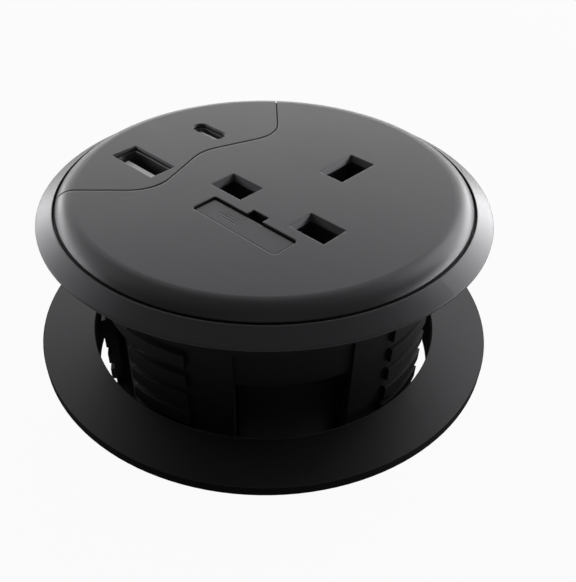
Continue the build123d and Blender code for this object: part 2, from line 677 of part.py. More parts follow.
def shutter():
    """Sliding plate that covers live and neutral until the earth pin pushes its ramp."""
    bar = block(
        SOCKET_X - BAR_HALF_X,
        SOCKET_X + BAR_HALF_X,
        BAR_SOUTH_Y,
        BAR_NORTH_Y,
        SHUTTER_Z,
        SHUTTER_TOP_Z,
    )
    half_arm = SHUTTER_ARM_W / 2
    arm = block(SOCKET_X - half_arm, SOCKET_X + half_arm, BAR_NORTH_Y, ARM_NORTH_Y, SHUTTER_Z, SHUTTER_TOP_Z)
    window_y = (EARTH_GUIDE_SOUTH_Y + EARTH_GUIDE_NORTH_Y) / 2
    window = (SHUTTER_WINDOW_W, EARTH_GUIDE[1])
    ramp = make_face(
        Polyline(
            (EARTH_GUIDE_NORTH_Y, SHUTTER_TOP_Z),
            (EARTH_GUIDE_NORTH_Y + SHUTTER_END_T, SHUTTER_TOP_Z),
            (EARTH_GUIDE_NORTH_Y + SHUTTER_END_T, RAMP_Z),
            (EARTH_GUIDE_NORTH_Y - SHUTTER_TRAVEL, RAMP_Z),
            close=True,
        )
    )
    wedge = extrude(Plane.YZ * ramp, amount=SHUTTER_WINDOW_W / 2, both=True)
    plate = bar + arm - centred(SOCKET_X, window_y, window, SHUTTER_Z, SHUTTER_TOP_Z)
    return plate + Location((SOCKET_X, 0, 0)) * wedge


def shutter_spring():
    """Return spring between the shutter's bar and the end of its channel."""
    length = SPRING_LENGTH - 2 * SPRING_WIRE_R - FIT
    path = Helix(pitch=length / SPRING_TURNS, height=length, radius=SPRING_R)
    section = Plane(origin=path @ 0, z_dir=path % 0) * RegularPolygon(SPRING_WIRE_R, 6)
    wire = sweep(section, path=path, is_frenet=True)
    middle_z = (SHUTTER_TOP_Z + SHUTTER_Z) / 2
    start_y = BAR_NORTH_Y + SPRING_WIRE_R + FIT / 2
    return Location((SPRING_X, start_y, middle_z), (-90, 0, 0)) * wire


def fuse_carrier():
    """Drawer that lifts the fuse out: cap, end legs and two cradles."""
    under_z = FACE_Z - DRAWER_CAP_T
    outline = rounded(FUSE_X, FUSE_Y, (DRAWER_L, DRAWER_W), DRAWER_CORNER_R)
    cap = raised(outline, under_z, FACE_Z - DRAWER_SINK)
    cap = chamfer(cap.faces().sort_by(Axis.Z)[-1].edges(), DRAWER_BREAK)
    leg_gap = FUSE_L + FUSE_PLAY
    for side in (-1, 1):
        leg_x = FUSE_X + side * (leg_gap + DRAWER_LEG_T) / 2
        cap += centred(leg_x, FUSE_Y, (DRAWER_LEG_T, DRAWER_LEG_W), FUSE_Z - DRAWER_LEG_TURN, under_z)
        cradle_x = FUSE_X + side * FUSE_L / 6
        cradle = centred(cradle_x, FUSE_Y, (CRADLE_T, DRAWER_LEG_W), FUSE_Z + CRADLE_REACH, under_z)
        cap += cradle - lying(FUSE_R, cradle_x - CRADLE_T, cradle_x + CRADLE_T, FUSE_Y, FUSE_Z)
    return cap


def fuse_tube():
    """Glass barrel of the fuse."""
    half = FUSE_L / 2 - FUSE_CAP_WALL
    barrel = lying(FUSE_GLASS_R, FUSE_X - half, FUSE_X + half, FUSE_Y, FUSE_Z)
    return barrel


def fuse_caps():
    """Metal end caps of the fuse."""
    caps = []
    bore_r = FUSE_R - FUSE_CAP_WALL
    for side in (-1, 1):
        end = FUSE_X + side * FUSE_L / 2
        mouth = end - side * FUSE_CAP_L
        bottom = end - side * FUSE_CAP_WALL
        cup = lying(FUSE_R, mouth, end, FUSE_Y, FUSE_Z) - lying(bore_r, mouth, bottom, FUSE_Y, FUSE_Z)
        caps.append(cup)
    return Compound(children=caps)


def fuse_clips():
    """Sprung clips on the trough's floor that grip the caps."""
    clips = []
    half_gap = FUSE_R + FIT
    for side in (-1, 1):
        x = FUSE_X + side * CLIP_X
        outer = (CLIP_W, 2 * (half_gap + CLIP_T))
        inner = (CLIP_W, 2 * half_gap)
        clip = centred(x, FUSE_Y, outer, CLIP_Z, FUSE_Z)
        clip -= centred(x, FUSE_Y, inner, CLIP_Z + CLIP_T, FUSE_Z)
        clip += centred(x, FUSE_Y, (TAIL_W, CLIP_T), BLOCK_Z - TAIL_L / 2, CLIP_Z)
        clips.append(clip)
    return Compound(children=clips)


def usb_a_shell():
    """Folded metal shell of the larger port."""
    outer = [side + 2 * USB_A_WALL for side in USB_A_MOUTH]
    shell = centred(USB_A_X, USB_A_Y, outer, PORT_BOARD_Z, PORT_TOP_Z)
    return shell - centred(USB_A_X, USB_A_Y, USB_A_MOUTH, PORT_BOARD_Z + USB_A_WALL, PORT_TOP_Z)


def usb_a_tongue():
    """Moulded tongue of the larger port, off centre."""
    y = USB_A_Y + USB_A_TONGUE_SHIFT
    return centred(USB_A_X, y, USB_A_TONGUE, PORT_BOARD_Z + USB_A_WALL, PORT_TOP_Z - USB_A_TONGUE_DROP)


def tongue_contacts(x, face_y, count, pitch, size, z0, z1):
    """A row of contact strips that lie on a tongue's face."""
    first = x - pitch * (count - 1) / 2
    return [centred(first + pitch * i, face_y, size, z0, z1) for i in range(count)]


def usb_a_contacts():
    """Four strips on the larger port's tongue."""
    face_y = USB_A_Y + USB_A_TONGUE_SHIFT + (USB_A_TONGUE[1] + USB_A_STRIP[1]) / 2
    base_z = PORT_BOARD_Z + USB_A_WALL
    top_z = PORT_TOP_Z - USB_A_TONGUE_DROP - USB_A_STRIP[0]
    return Compound(children=tongue_contacts(USB_A_X, face_y, 4, USB_A_STRIP_PITCH, USB_A_STRIP, base_z, top_z))


def usb_c_shell():
    """Drawn metal shell of the smaller port."""
    outer = [side + 2 * USB_C_WALL for side in USB_C_MOUTH]
    shell = raised(rounded(USB_C_X, USB_C_Y, outer, outer[1] / 2 - PORT_ROUND), PORT_BOARD_Z, PORT_TOP_Z)
    mouth = rounded(USB_C_X, USB_C_Y, USB_C_MOUTH, USB_C_MOUTH[1] / 2 - PORT_ROUND)
    return shell - raised(mouth, PORT_BOARD_Z + USB_C_WALL, PORT_TOP_Z)


def usb_c_tongue():
    """Centre tongue of the smaller port."""
    return centred(
        USB_C_X, USB_C_Y, USB_C_TONGUE, PORT_BOARD_Z + USB_C_WALL, PORT_TOP_Z - USB_C_TONGUE_DROP
    )


def usb_c_contacts():
    """Strips on both faces of the smaller port's tongue."""
    base_z = PORT_BOARD_Z + USB_C_WALL
    top_z = PORT_TOP_Z - 2 * USB_C_TONGUE_DROP
    strips = []
    for side in (-1, 1):
        face_y = USB_C_Y + side * (USB_C_TONGUE[1] + USB_C_STRIP[1]) / 2
        strips += tongue_contacts(USB_C_X, face_y, 8, USB_C_STRIP_PITCH, USB_C_STRIP, base_z, top_z)
    return Compound(children=strips)


def board(extent, radius, top_z):
    """A circuit board cut to its extent, inside a radius, clear of the bosses and their screws."""
    west, east, south, north = extent
    sheet = block(west, east, south, north, top_z - BOARD_T, top_z)
    sheet &= disc(radius, top_z - BOARD_T, top_z)
    for x, y in boss_places():
        sheet -= disc(BOSS_R + FIT, top_z - BOARD_T, top_z, x, y)
    return sheet


def port_board():
    """Board that carries both ports."""
    return board(PORT_BOARD, PORT_BOARD_R, PORT_BOARD_Z)


def charger_board():
    """Board of the charger, on the cover's posts."""
    return board(CHARGER_BOARD, CHARGER_BOARD_R, CHARGER_BOARD_Z)


def board_spacers():
    """Posts under the charger board and spacers between the two boards."""
    top_z = PORT_BOARD_Z - BOARD_T
    posts = [disc(SPACER_R, DRUM_BOTTOM_Z, CHARGER_BOARD_Z - BOARD_T, x, y) for x, y in POSTS]
    return Compound(children=posts + [disc(SPACER_R, CHARGER_BOARD_Z, top_z, x, y) for x, y in SPACERS])


def transformer_core():
    """Ferrite core with two windows for the winding, under the charger board."""
    length, width, height = TRANSFORMER_CORE
    top_z = CHARGER_BOARD_Z - BOARD_T
    core = centred(TRANSFORMER_X, TRANSFORMER_Y, (length, width), top_z - height, top_z)
    window_l = (length - 3 * CORE_LIMB) / 2
    for side in (-1, 1):
        x = TRANSFORMER_X + side * (CORE_LIMB + window_l) / 2
        core -= centred(x, TRANSFORMER_Y, (window_l, width), top_z - height + CORE_LIMB, top_z - CORE_LIMB)
    return core


def transformer_winding():
    """Winding round the middle limb."""
    length, width, height = TRANSFORMER_CORE
    window_l = (length - 3 * CORE_LIMB) / 2
    top_z = CHARGER_BOARD_Z - BOARD_T - CORE_LIMB - FIT / 2
    low_z = CHARGER_BOARD_Z - BOARD_T - height + CORE_LIMB + FIT / 2
    outer = (CORE_LIMB + 2 * window_l - FIT, width + 2 * WINDING_SWELL)
    wound = raised(rounded(TRANSFORMER_X, TRANSFORMER_Y, outer, WINDING_SWELL), low_z, top_z)
    return wound - centred(TRANSFORMER_X, TRANSFORMER_Y, (CORE_LIMB + FIT, width + FIT), low_z, top_z)


def smoothing_capacitors():
    """Upright electrolytic cans under the charger board."""
    top_z = CHARGER_BOARD_Z - BOARD_T
    cans = []
    for x, y in CAPACITORS:
        can = disc(CAPACITOR_R, top_z - CAPACITOR_L, top_z, x, y)
        cans.append(chamfer(can.faces().sort_by(Axis.Z)[0].edges(), CAPACITOR_EDGE_R))
    return Compound(children=cans)


def film_capacitor():
    """Boxed film capacitor on the charger board."""
    length, width, height = FILM_CAPACITOR
    size = (length, width)
    return centred(FILM_CAPACITOR_X, FILM_CAPACITOR_Y, size, CHARGER_BOARD_Z, CHARGER_BOARD_Z + height)


def choke():
    """Ring choke under the charger board."""
    ring_z = CHARGER_BOARD_Z - BOARD_T - CHOKE_TUBE_R
    section = Location((CHOKE_R - CHOKE_TUBE_R, 0, 0), (0, 0, 22.5)) * RegularPolygon(CHOKE_TUBE_R, 8)
    return Location((CHOKE_X, CHOKE_Y, ring_z)) * revolve(Plane.XZ * section, axis=Axis.Z)


def controller_chips():
    """Chips on top of the charger board."""
    length, width, height = CHIP
    base_z = CHARGER_BOARD_Z
    return Compound(children=[centred(x, y, (length, width), base_z, base_z + height) for x, y in CHIPS])


def insulation_barrier():
    """Wall between the mains side and the charger side."""
    wall = block(
        BARRIER_X - BARRIER_T / 2,
        BARRIER_X + BARRIER_T / 2,
        -BARRIER_R,
        BARRIER_R,
        DRUM_BOTTOM_Z,
        BARRIER_TOP_Z,
    )
    return wall & disc(BARRIER_R, DRUM_BOTTOM_Z, BARRIER_TOP_Z)


def mains_inlet():
    """Three-pole inlet in the base: a keyed well with a lip inside the cover."""
    body = raised(rounded(INLET_X, INLET_Y, (INLET_L, INLET_W), INLET_CORNER_R), COVER_Z, INLET_TOP_Z)
    lip_size = (INLET_L + 2 * INLET_LIP, INLET_W + 2 * INLET_LIP)
    lip = rounded(INLET_X, INLET_Y, lip_size, INLET_CORNER_R)
    body += raised(lip, DRUM_BOTTOM_Z, DRUM_BOTTOM_Z + INLET_LIP_T)
    well = (INLET_L - 2 * INLET_WALL, INLET_W - 2 * INLET_WALL)
    well_r = INLET_CORNER_R - INLET_WALL
    body -= raised(rounded(INLET_X, INLET_Y, well, well_r), COVER_Z, COVER_Z + INLET_DEPTH)
    for i in (-1, 0, 1):
        x = INLET_X + i * INLET_PIN_PITCH
        body -= disc(INLET_PIN_R + SCREW_PLAY, COVER_Z + INLET_DEPTH, INLET_TOP_Z, x, INLET_Y)
    return body


def inlet_pins():
    """Contact pins of the inlet, sunk below its mouth."""
    low_z = COVER_Z + INLET_DEPTH - INLET_PIN_L
    places = [INLET_X + i * INLET_PIN_PITCH for i in (-1, 0, 1)]
    return Compound(children=[disc(INLET_PIN_R, low_z, WIRE_START_Z, x, INLET_Y) for x in places])


def wire(start, end):
    """Insulated wire: up from its start, across, and up to its end."""
    middle_z = (start[2] + end[2]) / 2
    points = [start, (start[0], start[1], middle_z), (end[0], end[1], middle_z), end]
    rise = end[2] - start[2]
    bend = min(WIRE_BEND_R, rise / 2 - WIRE_R / 2)
    path = FilletPolyline(*points, radius=bend)
    return sweep(Plane(origin=start, z_dir=(0, 0, 1)) * RegularPolygon(WIRE_R, WIRE_SIDES), path=path)


def live_wire():
    """From the inlet to the fuse's supply clip."""
    end = (FUSE_X - CLIP_X, FUSE_Y, BLOCK_Z - TAIL_L / 2)
    return wire((INLET_X - INLET_PIN_PITCH, INLET_Y, WIRE_START_Z), end)


def neutral_wire():
    """From the inlet to the neutral contact."""
    end = (NEUTRAL_X, LINE_Y, LINE_WEB_Z - TAIL_L)
    return wire((INLET_X + INLET_PIN_PITCH, INLET_Y, WIRE_START_Z), end)


def earth_wire():
    """From the inlet to the earth contact."""
    end = (SOCKET_X, EARTH_Y, EARTH_WEB_Z - TAIL_L)
    return wire((INLET_X, INLET_Y, WIRE_START_Z), end)


def clamp_plate():
    """Flat ring that the nut pushes up against the underside of the desk."""
    ring = disc(PLATE_R, PLATE_Z, CLAMP_TOP_Z) - disc(PLATE_HOLE_R, PLATE_Z, CLAMP_TOP_Z)
    return ring


def clamp_nut():
    """Ring nut with grips outside and short thread blades inside."""
    wall_r = NUT_BORE_R + NUT_WALL
    nut = disc(wall_r, NUT_Z, NUT_TOP_Z) + disc(NUT_FLANGE_R, NUT_TOP_Z - NUT_FLANGE_T, NUT_TOP_Z)
    for i in range(GRIP_COUNT):
        grip = block(NUT_BORE_R + FIT, wall_r + GRIP_REACH, -GRIP_W / 2, GRIP_W / 2, NUT_Z, NUT_TOP_Z)
        nut += Location((0, 0, 0), (0, 0, i * 360 / GRIP_COUNT)) * grip
    nut -= disc(NUT_BORE_R, NUT_Z, NUT_TOP_Z)
    tip_r = ROOT_R + BLADE_PLAY
    root_r = NUT_BORE_R + BLADE_PLAY
    section = Polyline(
        (tip_r, -BLADE_TIP_T / 2),
        (root_r, -BLADE_ROOT_T / 2),
        (root_r, BLADE_ROOT_T / 2),
        (tip_r, BLADE_TIP_T / 2),
        close=True,
    )
    blades = []
    for i in range(BLADE_COUNT):
        start = FRONT_ANGLE + 360 / BLADE_COUNT * (i - 1) - BLADE_ANGLE / 2
        blades.append(helical_ridge(start, BLADE_ANGLE, GROOVE_START_Z - PITCH * BLADE_TURN_COUNT, section))
    return nut.fuse(*blades)


NODES = {
    "face_plate": face_plate,
    "usb_insert": usb_insert,
    "bezel_ring": bezel_ring,
    "body_shell": body_shell,
    "base_cover": base_cover,
    "base_screws": base_screws,
    "socket_deck": socket_deck,
    "socket_block": socket_block,
    "block_screws": block_screws,
    "live_contact": lambda: line_contact(LIVE_X),
    "neutral_contact": lambda: line_contact(NEUTRAL_X),
    "earth_contact": earth_contact,
    "shutter": shutter,
    "shutter_spring": shutter_spring,
    "fuse_carrier": fuse_carrier,
    "fuse_tube": fuse_tube,
    "fuse_caps": fuse_caps,
    "fuse_clips": fuse_clips,
    "usb_a_shell": usb_a_shell,
    "usb_a_tongue": usb_a_tongue,
    "usb_a_contacts": usb_a_contacts,
    "usb_c_shell": usb_c_shell,
    "usb_c_tongue": usb_c_tongue,
    "usb_c_contacts": usb_c_contacts,
    "port_board": port_board,
    "charger_board": charger_board,
    "board_spacers": board_spacers,
    "transformer_core": transformer_core,
    "transformer_winding": transformer_winding,
    "smoothing_capacitors": smoothing_capacitors,
    "film_capacitor": film_capacitor,
    "choke": choke,
    "controller_chips": controller_chips,
    "insulation_barrier": insulation_barrier,
    "mains_inlet": mains_inlet,
    "inlet_pins": inlet_pins,
    "live_wire": live_wire,
    "neutral_wire": neutral_wire,
    "earth_wire": earth_wire,
    "clamp_plate": clamp_plate,
    "clamp_nut": clamp_nut,
}

os.makedirs("parts", exist_ok=True)
for name, make in NODES.items():
    export_step(make(), f"parts/{name}.step")
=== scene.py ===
"""Looks of the in-desk power module, laid out as a Blender add-on and run as a script."""

import math
from collections import namedtuple

import bmesh
import bpy
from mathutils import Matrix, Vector


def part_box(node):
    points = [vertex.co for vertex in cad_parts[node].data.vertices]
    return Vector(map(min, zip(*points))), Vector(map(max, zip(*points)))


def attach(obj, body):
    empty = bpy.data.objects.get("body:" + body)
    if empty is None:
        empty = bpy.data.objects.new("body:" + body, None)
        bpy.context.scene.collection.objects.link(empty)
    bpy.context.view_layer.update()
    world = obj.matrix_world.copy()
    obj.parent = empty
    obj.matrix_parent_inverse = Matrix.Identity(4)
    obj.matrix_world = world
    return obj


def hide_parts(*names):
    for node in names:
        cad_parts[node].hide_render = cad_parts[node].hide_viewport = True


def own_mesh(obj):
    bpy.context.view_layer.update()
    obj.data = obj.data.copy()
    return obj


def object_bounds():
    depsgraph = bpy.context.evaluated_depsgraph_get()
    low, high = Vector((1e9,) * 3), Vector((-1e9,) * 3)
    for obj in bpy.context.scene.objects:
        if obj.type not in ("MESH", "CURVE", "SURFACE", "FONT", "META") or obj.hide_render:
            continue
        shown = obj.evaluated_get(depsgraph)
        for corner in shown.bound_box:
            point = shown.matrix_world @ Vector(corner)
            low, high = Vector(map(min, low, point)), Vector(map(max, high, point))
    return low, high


bl_info = {
    "name": "In-desk power module",
    "version": (1, 0, 0),
    "blender": (4, 5, 0),
    "location": "3D View > Sidebar > Power Module",
    "description": "Finishes and small details of an in-desk power module, and its studio",
    "category": "Object",
}

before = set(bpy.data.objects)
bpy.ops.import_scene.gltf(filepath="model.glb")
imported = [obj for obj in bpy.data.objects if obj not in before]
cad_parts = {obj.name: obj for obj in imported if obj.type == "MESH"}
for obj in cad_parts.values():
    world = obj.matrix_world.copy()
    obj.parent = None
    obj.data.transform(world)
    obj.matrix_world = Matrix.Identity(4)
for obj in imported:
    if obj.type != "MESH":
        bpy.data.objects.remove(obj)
CAD_LOW, CAD_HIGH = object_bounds()
MM = 0.001

Grain = namedtuple("Grain", "scale detail contrast", defaults=(2.0, 0.5))
Lamp = namedtuple("Lamp", "name angle distance height width tall glow")

# The shutter's return spring: the wire, the turns, and the pitch of a closed turn in wire radii.
SPRING_WIRE_RADIUS = 0.2 * MM
SPRING_TURNS = 9
CLOSED_PITCH = 2.2
STEPS_PER_TURN = 28
WIRE_SIDES = 10

# How far each port's tongue goes on past its solid, and how its tip narrows.
TONGUE_REACH = {"usb_a_tongue": 0.95 * MM, "usb_c_tongue": 0.5 * MM}
TIP_NOSE = 0.15 * MM
TIP_INSET = 0.05 * MM

# Rim and bore of the two rings below the desk, and the width over which they turn dull.
PLATE_RADII = (52.4 * MM, 40.5 * MM)
NUT_RADII = (46.5 * MM, 40.8 * MM)
DULL_EDGE = (0.05 * MM, 0.25 * MM)

# The fuse mark on the drawer: its middle and half size on the plan, its lines, and the drawer's top.
MARK_MIDDLE = (5.67 * MM, -15.1 * MM)
MARK_HALF = (1.9 * MM, 0.75 * MM)
MARK_LINE = (0.08 * MM, 0.2 * MM)
MARK_END = (3.0 * MM, 3.12 * MM)
MARK_TOP = (4.15 * MM, 4.25 * MM)
MARK_DEPTH = 0.12
MARK_TONE = 2.6
MARK_ROUGHNESS = 0.1

# Plastic: a slight violet in its colour and its glint.
PLASTIC_TINT = (1.0, 0.985, 1.06)
PLASTIC_GLINT = (0.945, 0.93, 1.0, 1.0)
PLASTIC_IOR = 1.49
WHITE = (1.0, 1.0, 1.0)

# Mouldings: spark texture, flow marks and the smears that handling leaves. Tones are multiples of the
# plastic's own, and depths and edge radii are in millimetres.
SPARK_SCALE = 5200.0
SPARK_DETAIL = (3.0, 0.65)
SPARK_DEPTH = 0.012
SPARK_ROUGHNESS = 0.06
FLOW_MARKS = Grain(62.0, 3.0, 0.55)
FLOW_SPREAD = 0.14
FLOW_ROUGHNESS = 0.08
SMEARS = Grain(210.0, 5.0, 0.7)
SMEAR_STRETCH = (0.35, 0.6)
SMEARED = (0.56, 0.78)
SMEAR_SHARE = 0.105
SMEAR_TONE = 2.2
SMEAR_POLISH = 0.042
EDGE_RADIUS = 0.35

# Rings: the circular lines of their mould, texture, flow marks and scuffs.
RING_LINES = Grain(190.0, 2.0, 0.6)
RING_GRAIN = Grain(4200.0, 3.0, 0.6)
RING_FLOW = Grain(48.0, 3.0, 0.55)
RING_MARKS = Grain(130.0, 6.0, 0.72)
RING_STRETCH = 40.0
RING_LINE_ROUGHNESS = 0.1
RING_SPREAD = 0.15
SCUFFED = (0.58, 0.8)
SCUFF_SHARE = 0.08
SCUFF_TONE = 2.5
SCUFF_POLISH = 0.05
DULL_ROUGHNESS = 0.6
CUT_SHARE = 0.65

# Metals: drawn lines and patches of tarnish.
DRAWN_LINES = Grain(900.0, 3.0, 0.6)
DRAWN_ROUGHNESS = 0.12
TARNISH = Grain(160.0, 4.0, 0.6)
TARNISHED = (0.42, 0.72)
TARNISH_SHADE = 0.75
TARNISH_ROUGHNESS = 0.08
ZINC = (0.5, 0.5, 0.52)
PLATING = (0.72, 0.69, 0.62)
SPRING_STEEL = (0.6, 0.6, 0.62)
BRASS = (0.72, 0.52, 0.24)
CAP_METAL = (0.78, 0.76, 0.7)
PORT_STEEL = (0.42, 0.42, 0.43)
GOLD = (0.85, 0.62, 0.25)

# Boards: lanes of tracks across a metre, the noise that bends them, cells that hold a pad, and colours.
LANES_PER_METRE = 420.0
LANE_NOISE = Grain(90.0, detail=1.0)
LANE_BEND = 1.5
TRACK_EDGE = (0.2, 0.26)
PAD_SCALE = 260.0
PAD_EDGE = (0.1, 0.14)
SOLDER_MASK = ((0.012, 0.09, 0.035, 1.0), (0.03, 0.2, 0.08, 1.0))
PAD = (0.75, 0.7, 0.6, 1.0)
BOARD_ROUGHNESS = 0.32
PAD_ROUGHNESS = 0.08

# The earth's sleeve and its stripe: waves round it and along it in a metre.
SLEEVE_GRAIN = Grain(900.0)
SLEEVE_ROUGHNESS = 0.42
STRIPE_ROUND = 900.0
STRIPE_ALONG = 500.0
STRIPE_EDGE = (0.1, 0.3)
STRIPE_ROUGHNESS = 0.06

# Wrapped pieces, and plain mouldings whose grain is finer than their flow by a given number.
WRAP_FLOW = Grain(140.0, detail=3.0)
# Share of the band wave in a wrapped piece's colour, which paints shade into the grooves between bands.
GROOVE_SHADE_SHARE = 0.6
WRAP_ROUGHNESS = 0.1
PLAIN_FLOW = (4.0, 0.55)
PLAIN_FINENESS = 12.0
PLAIN_ROUGHNESS = 0.14

# Colours of the closed inside, each as the two ends of its range.
GLASS = ((0.8, 0.84, 0.84, 1.0), (0.9, 0.93, 0.93, 1.0))
# The tape, can sleeve and copper take their darker end in the grooves between bands, as painted shade.
TAPE = ((0.62, 0.42, 0.03, 1.0), (0.8, 0.6, 0.08, 1.0))
CAN_SLEEVE = ((0.02, 0.03, 0.09, 1.0), (0.03, 0.05, 0.14, 1.0))
FILM_BOX = ((0.62, 0.42, 0.06, 1.0), (0.72, 0.5, 0.09, 1.0))
COPPER = ((0.28, 0.08, 0.03, 1.0), (0.6, 0.24, 0.1, 1.0))
BROWN = ((0.09, 0.035, 0.015, 1.0), (0.13, 0.05, 0.02, 1.0))
BLUE = ((0.01, 0.05, 0.3, 1.0), (0.02, 0.08, 0.4, 1.0))
GREEN_YELLOW = ((0.04, 0.25, 0.03, 1.0), (0.75, 0.6, 0.04, 1.0))

# Studio: the camera's shift, the pale floor, and lamps that face the object's middle. A lamp's angle is
# measured from straight behind the object, clockwise from above.
CAMERA_SHIFT = (0.0526, 0.0418)
CAMERA_NEAR = 0.01
BEHIND_ANGLE = 135.0
BACKDROP_SHARE = 0.95
FLOOR_GLINT = 0.12
FLOOR_TONE = 0.32
FLOOR_RADIUS = 3.0
FLOOR_SEGMENTS = 96
MIDDLE = (0.0, 0.0, -0.01)
LAMPS = (
    Lamp("back_softbox", angle=1.0, distance=0.75, height=0.42, width=1.3, tall=0.5, glow=1.47),
    Lamp("horizon", angle=0.0, distance=1.3, height=0.09, width=2.6, tall=0.26, glow=3.8),
    Lamp("right_strip", angle=71.0, distance=0.7, height=0.11, width=0.9, tall=0.24, glow=7.8),
    Lamp("left_strip", angle=-63.5, distance=0.7, height=0.11, width=0.62, tall=0.24, glow=4.9),
    Lamp("right_panel", angle=54.5, distance=0.75, height=0.5, width=0.5, tall=0.45, glow=3.2),
    Lamp("left_panel", angle=-63.0, distance=0.75, height=0.5, width=0.5, tall=0.45, glow=1.0),
    Lamp("overhead", angle=0.0, distance=0.0, height=0.95, width=1.2, tall=1.2, glow=0.1),
    Lamp("front_fill", angle=180.0, distance=0.8, height=0.6, width=0.8, tall=0.5, glow=0.2),
)

# Sockets of the colour-mixing node, which share their names with others on it.
MIX_FACTOR, MIX_FIRST, MIX_SECOND, MIX_RESULT = 0, 6, 7, 2


class Value:
    """A node socket that can be used in Python arithmetic; each operation adds a Math node."""

    def __init__(self, recipe, socket):
        self.recipe = recipe
        self.socket = socket

    def __add__(self, other):
        return self.recipe.math("ADD", self, other)

    def __radd__(self, other):
        return self.recipe.math("ADD", other, self)

    def __sub__(self, other):
        return self.recipe.math("SUBTRACT", self, other)

    def __rsub__(self, other):
        return self.recipe.math("SUBTRACT", other, self)

    def __mul__(self, other):
        return self.recipe.math("MULTIPLY", self, other)

    def __rmul__(self, other):
        return self.recipe.math("MULTIPLY", other, self)

    def __abs__(self):
        return self.recipe.math("ABSOLUTE", self)


class Recipe:
    """The node tree of one finish, or of the world."""

    def __init__(self, name, kind="materials"):
        self.home = getattr(bpy.data, kind).new(name)
        self.home.use_nodes = True
        self.tree = self.home.node_tree
        self.tree.nodes.clear()

    def node(self, kind, settings=None, inputs=None):
        """Adds a node: settings first, then the values or links of its sockets."""
        made = self.tree.nodes.new(kind)
        for key, value in (settings or {}).items():
            setattr(made, key, value)
        for key, value in (inputs or {}).items():
            socket = made.inputs[key]
            if isinstance(value, Value):
                self.tree.links.new(value.socket, socket)
            else:
                socket.default_value = value
        return made

    def out(self, made, name=0):
        return Value(self, made.outputs[name])

    def math(self, operation, *values):
        inputs = dict(enumerate(values))
        return self.out(self.node("ShaderNodeMath", {"operation": operation}, inputs))

    def least(self, *values):
        return self.math("MINIMUM", *values)

    def most(self, *values):
        return self.math("MAXIMUM", *values)

    def step(self, value, low, high):
        """0 below low, 1 above high, smooth between them."""
        inputs = {"Value": value, "From Min": low, "From Max": high}
        return self.out(self.node("ShaderNodeMapRange", {"interpolation_type": "SMOOTHSTEP"}, inputs))

    def place(self):
        """The point in the part's own frame, in metres."""
        return self.out(self.node("ShaderNodeTexCoord"), "Object")

    def split(self, vector):
        made = self.node("ShaderNodeSeparateXYZ", None, {0: vector})
        return [self.out(made, axis) for axis in "XYZ"]

    def join(self, x, y, z):
        return self.out(self.node("ShaderNodeCombineXYZ", None, {0: x, 1: y, 2: z}))

    def noise(self, vector, grain):
        inputs = {"Vector": vector, "Scale": grain.scale, "Detail": grain.detail}
        inputs["Roughness"] = grain.contrast
        return self.out(self.node("ShaderNodeTexNoise", None, inputs), "Fac")

    def cells(self, vector, scale):
        inputs = {"Vector": vector, "Scale": scale}
        return self.out(self.node("ShaderNodeTexVoronoi", None, inputs), "Distance")

    def blend(self, factor, first, second):
        """A colour between two colours."""
        inputs = {MIX_FACTOR: factor, MIX_FIRST: first, MIX_SECOND: second}
        return self.out(self.node("ShaderNodeMix", {"data_type": "RGBA"}, inputs), MIX_RESULT)

    def rounded(self, radius):
        """A normal that rounds sharp edges by a radius in millimetres."""
        return self.out(self.node("ShaderNodeBevel", {"samples": 6}, {"Radius": radius * MM}))

    def bump(self, height, depth, strength=1.0, under=None):
        """A normal raised by a height from 0 to 1 times a depth in millimetres."""
        inputs = {"Height": height, "Distance": depth * MM, "Strength": strength}
        if under is not None:
            inputs["Normal"] = under
        return self.out(self.node("ShaderNodeBump", None, inputs))

    def principled(self, colour, roughness, normal, **fixed):
        """A Principled shader with the given colour, roughness and normal."""
        inputs = {"Base Color": colour, "Roughness": roughness, "Normal": normal}
        inputs.update({key.replace("_", " "): value for key, value in fixed.items()})
        return self.out(self.node("ShaderNodeBsdfPrincipled", None, inputs))

    def plastic(self, colour, roughness, normal, gloss=0.5):
        """The shader that the dark mouldings share."""
        glint = {"Specular_IOR_Level": gloss, "Specular_Tint": PLASTIC_GLINT}
        return self.principled(colour, roughness, normal, IOR=PLASTIC_IOR, **glint)

    def mixed(self, factor, first, second):
        """A shader between two shaders."""
        return self.out(self.node("ShaderNodeMixShader", None, {0: factor, 1: first, 2: second}))

    def rays(self, *kinds):
        """1 for each kind of ray that is asked for."""
        path = self.node("ShaderNodeLightPath")
        return [self.out(path, "Is " + kind + " Ray") for kind in kinds]

    def surface(self, shader, output="ShaderNodeOutputMaterial"):
        """Ends the recipe with a shader and gives back its material or world."""
        self.node(output, None, {"Surface": shader})
        return self.home


def shade(value, tint=PLASTIC_TINT):
    """A near-grey colour with its alpha."""
    return (value * tint[0], value * tint[1], value * tint[2], 1.0)


def greys(low, high, tint=PLASTIC_TINT):
    """The two ends of a range of near-greys."""
    return shade(low, tint), shade(high, tint)


def wandering(recipe, factor, tone, spread):
    """A near-grey that wanders round a tone by a share of it."""
    low, high = greys(tone * (1.0 - spread), tone * (1.0 + spread))
    return recipe.blend(factor, low, high)


